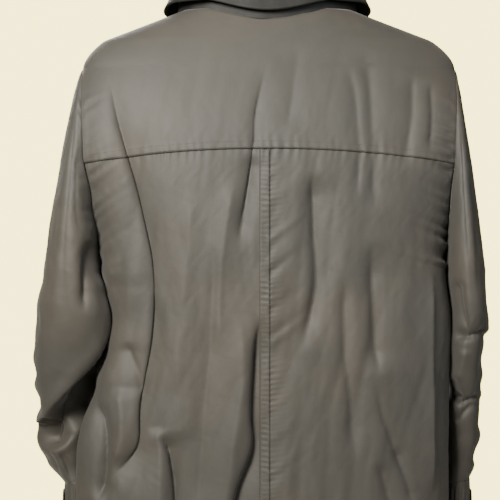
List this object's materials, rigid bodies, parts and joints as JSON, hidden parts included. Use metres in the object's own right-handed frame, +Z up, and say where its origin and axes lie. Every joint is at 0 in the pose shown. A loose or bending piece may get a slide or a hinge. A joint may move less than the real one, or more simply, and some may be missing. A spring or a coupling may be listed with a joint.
{
  "type": "hardshell jacket",
  "caption": "Zip-front shell jacket with a yoke over the shoulders, a centre-back seam, turned-down collar, hand pockets and adjustable cuffs, hanging from its neck loop.",
  "frame": {"origin": "middle of the hang loop's gap, level with the seam at the back of the neck", "axes": "+Z up, -Y out of the jacket's front, +X to the wearer's left"},
  "size_m": [0.6181, 0.216, 0.836],
  "materials": {
    "shell": "smooth plain-weave nylon with a soft satin sheen",
    "collar": "matt darker weave",
    "lining": "thin taffeta",
    "tape": "woven tape",
    "hook_tape": "hook and loop pile",
    "label": "woven satin, blank",
    "teeth": "moulded, semi-gloss",
    "zip_metal": "dark coated, worn at the edges",
    "eyelet": "dark coated, worn at the edges"
  },
  "bodies": {
    "jacket": {"back_yoke": "shell", "back_panel_left": "shell", "back_panel_right": "shell", "front_panel_left": "shell", "front_panel_right": "shell", "hem_band": "shell", "sleeve_head_left": "shell", "sleeve_head_right": "shell", "collar_stand": "collar", "collar_leaf": "collar", "neck_facing": "lining", "yoke_lining": "lining", "pocket_bag_left": "lining", "pocket_bag_right": "lining", "hang_loop": "tape", "size_label": "label", "front_zip_tape_left": "tape", "front_zip_tape_right": "tape", "front_zip_teeth_left": "teeth", "front_zip_teeth_right": "teeth", "front_zip_box": "teeth", "wind_guard": "shell", "zip_garage": "shell", "pocket_zip_left": "tape", "pocket_zip_right": "tape", "pocket_welt_left": "shell", "pocket_welt_right": "shell", "hem_eyelet_left": "eyelet", "hem_eyelet_right": "eyelet"},
    "sleeve_left": {"sleeve_left": "shell", "sleeve_fold_left": "shell", "cuff_left": "shell", "cuff_loop_left": "hook_tape"},
    "sleeve_right": {"sleeve_right": "shell", "sleeve_fold_right": "shell", "cuff_right": "shell", "cuff_loop_right": "hook_tape"},
    "cuff_tab_left": {"cuff_tab_left": "shell", "cuff_hook_left": "hook_tape"},
    "cuff_tab_right": {"cuff_tab_right": "shell", "cuff_hook_right": "hook_tape"},
    "front_zip_slider": {"front_zip_slider": "zip_metal"},
    "front_zip_pull": {"front_zip_pull": "zip_metal"},
    "pocket_slider_left": {"pocket_zip_left_slider": "zip_metal"},
    "pocket_slider_right": {"pocket_zip_right_slider": "zip_metal"},
    "pocket_pull_left": {"pocket_zip_left_pull": "zip_metal"},
    "pocket_pull_right": {"pocket_zip_right_pull": "zip_metal"}
  },
  "joints": [
    {"name": "sleeve_left_swing", "type": "hinge", "parent": "jacket", "child": "sleeve_left", "pos_m": [0.238, -0.03474, -0.345], "axis": [0, -1, 0], "range_deg": [0, 30], "deforming": ["sleeve_fold_left"]},
    {"name": "cuff_tab_left_lift", "type": "hinge", "parent": "sleeve_left", "child": "cuff_tab_left", "pos_m": [0.2874, -0.0634, -0.671], "axis": [0, 0, 1], "range_deg": [0, 120]},
    {"name": "sleeve_right_swing", "type": "hinge", "parent": "jacket", "child": "sleeve_right", "pos_m": [-0.238, -0.03474, -0.345], "axis": [0, 1, 0], "range_deg": [0, 30], "deforming": ["sleeve_fold_right"]},
    {"name": "cuff_tab_right_lift", "type": "hinge", "parent": "sleeve_right", "child": "cuff_tab_right", "pos_m": [-0.2874, -0.0634, -0.671], "axis": [0, 0, -1], "range_deg": [0, 120]},
    {"name": "front_zip_travel", "type": "slide", "parent": "jacket", "child": "front_zip_slider", "axis": [0, 0, -1], "range_m": [0, 0.652]},
    {"name": "front_pull_swing", "type": "hinge", "parent": "front_zip_slider", "child": "front_zip_pull", "pos_m": [0, -0.12964, -0.0825], "axis": [-1, 0, 0], "range_deg": [0, 150]},
    {"name": "pocket_zip_left_travel", "type": "slide", "parent": "jacket", "child": "pocket_slider_left", "axis": [0.1736, 0.0317, -0.9843], "range_m": [0, 0.138]},
    {"name": "pocket_pull_left_swing", "type": "hinge", "parent": "pocket_slider_left", "child": "pocket_pull_left", "pos_m": [0.15327, -0.11976, -0.49208], "axis": [-0.9624, -0.2065, -0.1764], "range_deg": [0, 150]},
    {"name": "pocket_zip_right_travel", "type": "slide", "parent": "jacket", "child": "pocket_slider_right", "axis": [-0.1736, 0.0317, -0.9843], "range_m": [0, 0.138]},
    {"name": "pocket_pull_right_swing", "type": "hinge", "parent": "pocket_slider_right", "child": "pocket_pull_right", "pos_m": [-0.15327, -0.11976, -0.49208], "axis": [-0.9624, 0.2065, 0.1764], "range_deg": [0, 150]}
  ]
}
